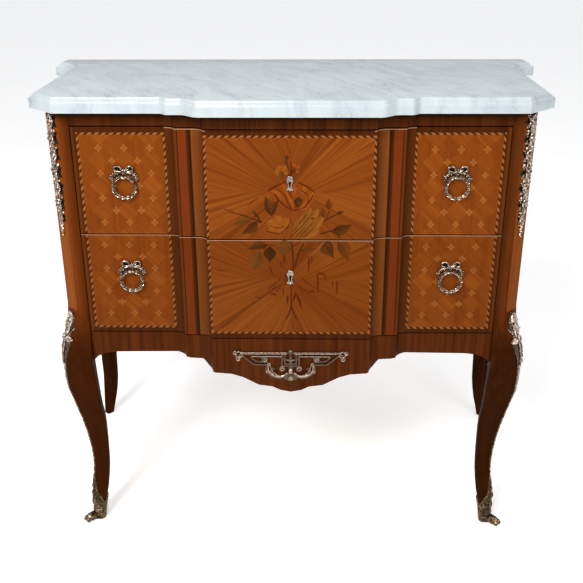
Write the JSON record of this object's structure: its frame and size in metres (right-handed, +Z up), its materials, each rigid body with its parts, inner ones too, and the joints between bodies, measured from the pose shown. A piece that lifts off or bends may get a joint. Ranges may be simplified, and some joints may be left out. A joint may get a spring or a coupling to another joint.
{
  "type": "commode chest",
  "caption": "Breakfront commode with drawers, shaped marble top, parquetry veneer, cabriole front legs, gilt brass mounts and ring pulls on ribbon bows.",
  "frame": {"origin": "on the floor, below the centre of the outline seen from above", "axes": "+Z up, front towards -Y, +X to the right of someone who looks at the front"},
  "size_m": [0.95, 0.47, 0.82],
  "materials": {
    "marble": "polished, veined grey-white",
    "kingwood": "dark striped veneer, waxed",
    "parquetry": "inlaid orange-brown veneer, waxed",
    "mahogany": "dark red-brown, waxed",
    "oak": "plain, unpolished",
    "brass": "aged, silvery highlights",
    "key_brass": "rubbed bright",
    "steel": "dull, darkened"
  },
  "bodies": {
    "case": {"marble_top": "marble", "front_left_leg": "mahogany", "rear_left_leg": "mahogany", "left_side_apron": "mahogany", "left_side_panel": "parquetry", "upper_left_runner": "oak", "lower_left_runner": "oak", "left_kicker": "oak", "left_garland_mount": "brass", "left_knee_mount": "brass", "left_leg_edge_strip": "brass", "left_foot_mount": "brass", "front_right_leg": "mahogany", "rear_right_leg": "mahogany", "right_side_apron": "mahogany", "right_side_panel": "parquetry", "upper_right_runner": "oak", "lower_right_runner": "oak", "right_kicker": "oak", "right_garland_mount": "brass", "right_knee_mount": "brass", "right_leg_edge_strip": "brass", "right_foot_mount": "brass", "front_apron": "mahogany", "top_front_rail": "kingwood", "back_panel": "oak", "middle_front_rail": "oak", "top_back_rail": "oak", "middle_back_rail": "oak", "bottom_back_rail": "oak", "bottom_board": "oak", "apron_mount": "brass"},
    "upper_drawer": {"upper_drawer_front": "parquetry", "upper_drawer_left_side": "oak", "upper_drawer_right_side": "oak", "upper_drawer_back": "oak", "upper_drawer_bottom": "oak", "upper_keyhole_plate": "key_brass", "upper_lock_case": "steel", "upper_left_pull_bow": "brass", "upper_right_pull_bow": "brass"},
    "upper_left_pull_ring": {"upper_left_pull_ring": "brass"},
    "upper_right_pull_ring": {"upper_right_pull_ring": "brass"},
    "upper_lock_bolt": {"upper_lock_bolt": "steel"},
    "lower_drawer": {"lower_drawer_front": "parquetry", "lower_drawer_left_side": "oak", "lower_drawer_right_side": "oak", "lower_drawer_back": "oak", "lower_drawer_bottom": "oak", "lower_keyhole_plate": "key_brass", "lower_lock_case": "steel", "lower_left_pull_bow": "brass", "lower_right_pull_bow": "brass"},
    "lower_left_pull_ring": {"lower_left_pull_ring": "brass"},
    "lower_right_pull_ring": {"lower_right_pull_ring": "brass"},
    "lower_lock_bolt": {"lower_lock_bolt": "steel"}
  },
  "joints": [
    {"name": "upper_drawer_slide", "type": "slide", "parent": "case", "child": "upper_drawer", "axis": [0, -1, 0], "range_m": [0, 0.26]},
    {"name": "upper_left_ring_swing", "type": "hinge", "parent": "upper_drawer", "child": "upper_left_pull_ring", "pos_m": [-0.273, -0.1858, 0.6888], "axis": [-1, 0, 0], "range_deg": [0, 100]},
    {"name": "upper_right_ring_swing", "type": "hinge", "parent": "upper_drawer", "child": "upper_right_pull_ring", "pos_m": [0.273, -0.1858, 0.6888], "axis": [-1, 0, 0], "range_deg": [0, 100]},
    {"name": "upper_bolt_slide", "type": "slide", "parent": "upper_drawer", "child": "upper_lock_bolt", "axis": [0, 0, 1], "range_m": [0, 0.008]},
    {"name": "lower_drawer_slide", "type": "slide", "parent": "case", "child": "lower_drawer", "axis": [0, -1, 0], "range_m": [0, 0.26]},
    {"name": "lower_left_ring_swing", "type": "hinge", "parent": "lower_drawer", "child": "lower_left_pull_ring", "pos_m": [-0.273, -0.1858, 0.5228], "axis": [-1, 0, 0], "range_deg": [0, 100]},
    {"name": "lower_right_ring_swing", "type": "hinge", "parent": "lower_drawer", "child": "lower_right_pull_ring", "pos_m": [0.273, -0.1858, 0.5228], "axis": [-1, 0, 0], "range_deg": [0, 100]},
    {"name": "lower_bolt_slide", "type": "slide", "parent": "lower_drawer", "child": "lower_lock_bolt", "axis": [0, 0, 1], "range_m": [0, 0.008]}
  ]
}
